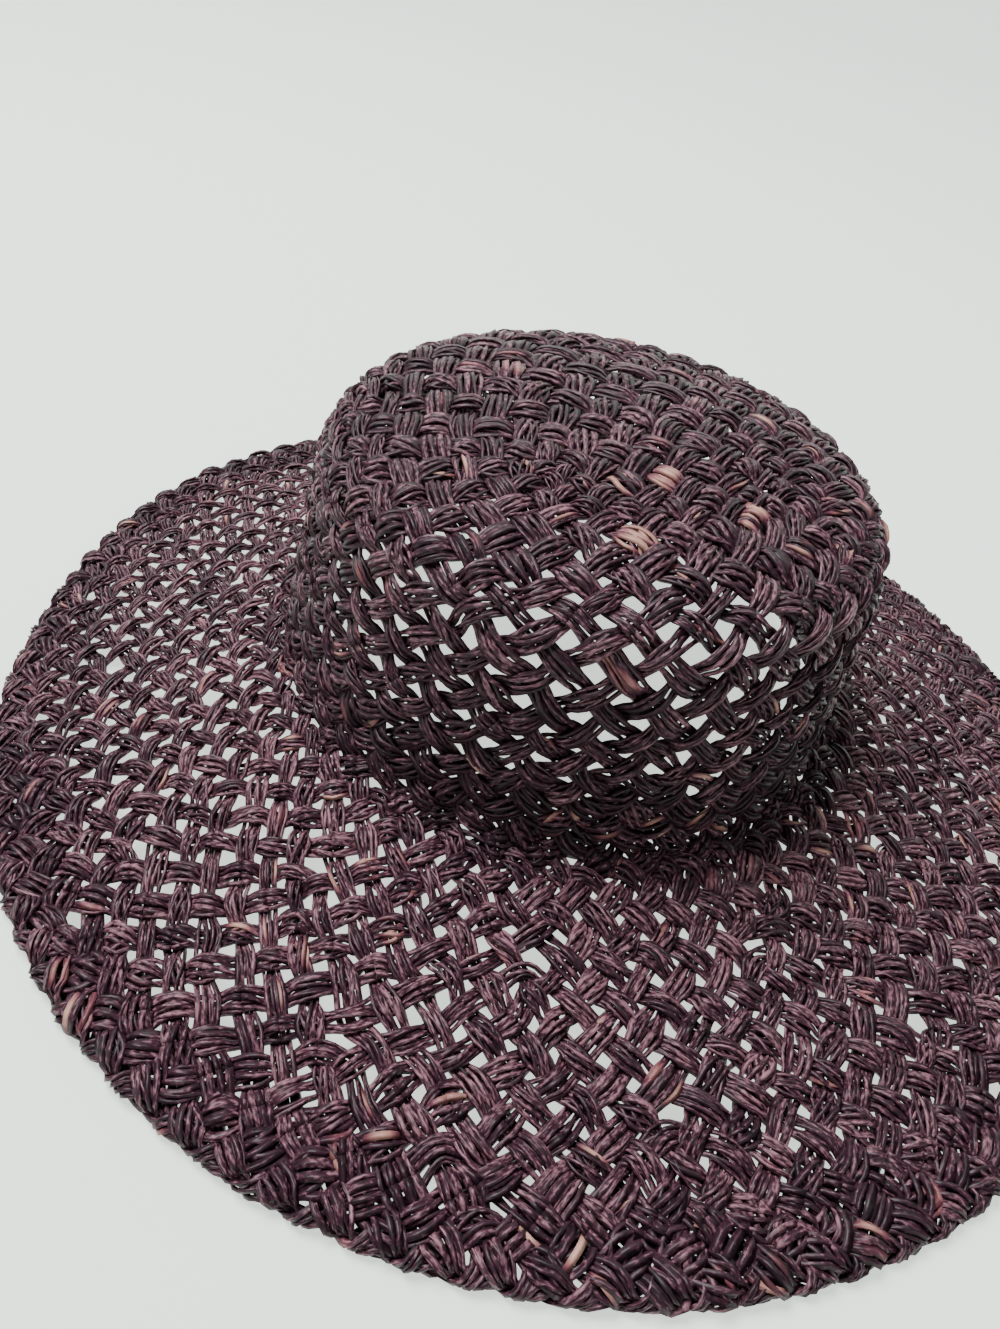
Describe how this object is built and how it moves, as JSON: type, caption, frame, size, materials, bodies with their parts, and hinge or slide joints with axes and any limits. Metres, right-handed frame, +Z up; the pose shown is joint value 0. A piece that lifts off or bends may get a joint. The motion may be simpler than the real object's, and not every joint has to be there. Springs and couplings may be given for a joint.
{
  "type": "woven straw boater hat",
  "caption": "Flat-topped straw hat with a round-shouldered crown, a wide gently drooping open-weave brim and a thick scalloped plaited edge.",
  "frame": {"origin": "on the plane the brim's edge rests on, under the middle of the hat's bounding box", "axes": "+Z up out of the crown's tip; the wider side of the brim is towards -Y"},
  "size_m": [0.3596, 0.3748, 0.1068],
  "materials": {
    "straw_weave": "plum-dyed plaited straw, satin",
    "straw_braid": "plum-dyed plaited straw edge, satin"
  },
  "bodies": {
    "root": {"crown_tip": "straw_weave", "crown_side": "straw_weave", "brim": "straw_weave", "edge_braid": "straw_braid"}
  },
  "joints": []
}
